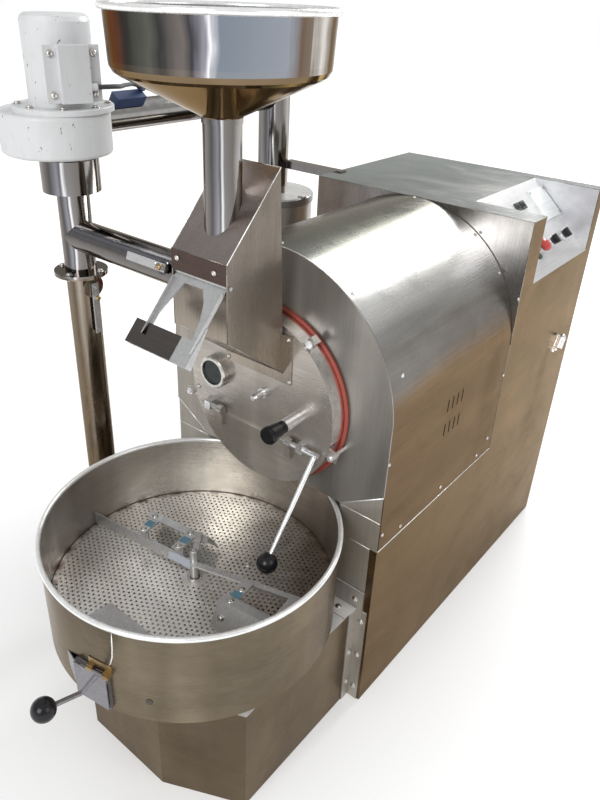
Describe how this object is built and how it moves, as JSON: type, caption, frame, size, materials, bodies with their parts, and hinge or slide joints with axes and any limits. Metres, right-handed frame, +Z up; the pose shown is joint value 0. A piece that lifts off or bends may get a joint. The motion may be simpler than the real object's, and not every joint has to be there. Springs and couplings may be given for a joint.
{
  "type": "coffee roaster",
  "caption": "Free-standing drum coffee roaster with hopper, flap-fed chute, swinging discharge door, stirred cooling tub, smoke blower and chaff cyclone.",
  "frame": {"origin": "on the floor under the front face of the bulkhead, in the middle plane of the casing", "axes": "+X to the right seen from the front, +Y to the back, +Z up"},
  "size_m": [1.1009, 1.95, 1.6995],
  "materials": {
    "stainless": "brushed",
    "polished": "mirror polished",
    "zinc": "galvanised",
    "white_paint": "gloss paint, chipped",
    "chrome": "polished",
    "silicone": "matt silicone",
    "phenolic": "gloss",
    "brass": "satin",
    "glass": "clear",
    "instrument": "matt",
    "red_plastic": "gloss",
    "green_plastic": "gloss",
    "conduit": "matt",
    "connector": "matt",
    "iron": "as cast",
    "motor_paint": "satin paint"
  },
  "bodies": {
    "casing": {"base_frame": "iron", "side_panel_right": "stainless", "side_panel_left": "stainless", "lower_front_panel": "stainless", "rear_panel": "stainless", "cabinet_bulkhead": "stainless", "cabinet_top": "stainless", "control_panel": "stainless", "panel_instruments": "instrument", "control_bezels": "chrome", "side_latch": "chrome", "drum_shroud": "stainless", "front_bulkhead": "stainless", "front_cap": "stainless", "cap_seal": "silicone", "cap_fittings": "chrome", "sight_ring": "chrome", "sight_glass": "glass", "door_bearings": "chrome", "chute_box": "stainless", "feed_pipe": "polished", "hopper": "polished", "drum_bearings": "iron", "gear_motors": "motor_paint", "gas_burner": "iron", "cooling_tub": "stainless", "tub_floor": "stainless", "gate_hinge": "brass", "discharge_spout": "zinc", "tray_base": "stainless", "corner_angles": "stainless", "blower_housing": "white_paint", "blower_motor": "white_paint", "stack_tee": "polished", "cooling_duct": "stainless", "branch_pipe": "polished", "outlet_pipe": "polished", "cyclone_body": "stainless", "cyclone_lid": "stainless", "chaff_bin": "stainless", "motor_lead": "conduit", "lead_connector": "connector"},
    "drum": {"roasting_drum": "iron"},
    "stirrer": {"stirrer_shaft": "stainless", "stirrer_paddles": "zinc"},
    "impeller": {"impeller": "zinc"},
    "feed_flap": {"feed_flap": "zinc"},
    "discharge_door": {"discharge_door": "stainless", "door_lever": "chrome", "door_ball": "phenolic"},
    "tryer": {"tryer": "chrome", "tryer_grip": "phenolic"},
    "tray_gate": {"gate_flap": "zinc", "gate_ball": "phenolic"},
    "damper_stack": {"damper_stack": "stainless"},
    "damper_branch": {"damper_branch": "stainless"},
    "estop": {"estop_button": "red_plastic"},
    "start_button": {"start_button": "green_plastic"},
    "selector_left": {"selector_left": "instrument"},
    "selector_right": {"selector_right": "instrument"}
  },
  "joints": [
    {"name": "drum_spin", "type": "hinge", "parent": "casing", "child": "drum", "pos_m": [0, 0, 0.8575], "axis": [0, 1, 0], "continuous": true},
    {"name": "stirrer_spin", "type": "hinge", "parent": "casing", "child": "stirrer", "pos_m": [0, -0.279, 0.5], "axis": [0, 0, 1], "continuous": true},
    {"name": "impeller_spin", "type": "hinge", "parent": "casing", "child": "impeller", "pos_m": [-0.467, -0.192, 1.43], "axis": [0, 0, 1], "continuous": true},
    {"name": "feed_flap_hinge", "type": "hinge", "parent": "casing", "child": "feed_flap", "pos_m": [0, -0.229, 1.208], "axis": [-1, 0, 0], "range_deg": [0, 38]},
    {"name": "door_hinge", "type": "hinge", "parent": "casing", "child": "discharge_door", "pos_m": [0, -0.066, 0.783], "axis": [-1, 0, 0], "range_deg": [0, 75]},
    {"name": "tryer_slide", "type": "slide", "parent": "casing", "child": "tryer", "axis": [0, -1, 0], "range_m": [0, 0.15]},
    {"name": "gate_hinge", "type": "hinge", "parent": "casing", "child": "tray_gate", "pos_m": [0.06251, -0.63353, 0.474], "axis": [-0.9848, -0.1736, 0], "range_deg": [0, 60]},
    {"name": "stack_damper_turn", "type": "hinge", "parent": "casing", "child": "damper_stack", "pos_m": [-0.467, -0.192, 1.067], "axis": [1, 0, 0], "range_deg": [0, 90]},
    {"name": "branch_damper_turn", "type": "hinge", "parent": "casing", "child": "damper_branch", "pos_m": [-0.112, -0.192, 1.19], "axis": [0, -0.9397, 0.342], "range_deg": [0, 90]},
    {"name": "estop_press", "type": "slide", "parent": "casing", "child": "estop", "axis": [-0.6759, 0, -0.737], "range_m": [0, 0.004], "stiffness_N_per_m": 1500, "springref_m": -0.002},
    {"name": "start_press", "type": "slide", "parent": "casing", "child": "start_button", "axis": [-0.6759, 0, -0.737], "range_m": [0, 0.003], "stiffness_N_per_m": 800, "springref_m": -0.002},
    {"name": "selector_left_turn", "type": "hinge", "parent": "casing", "child": "selector_left", "pos_m": [0.28893, 0.941, 1.08942], "axis": [0.6759, 0, 0.737], "range_deg": [0, 60]},
    {"name": "selector_right_turn", "type": "hinge", "parent": "casing", "child": "selector_right", "pos_m": [0.28893, 1.031, 1.08942], "axis": [0.6759, 0, 0.737], "range_deg": [0, 60]}
  ]
}
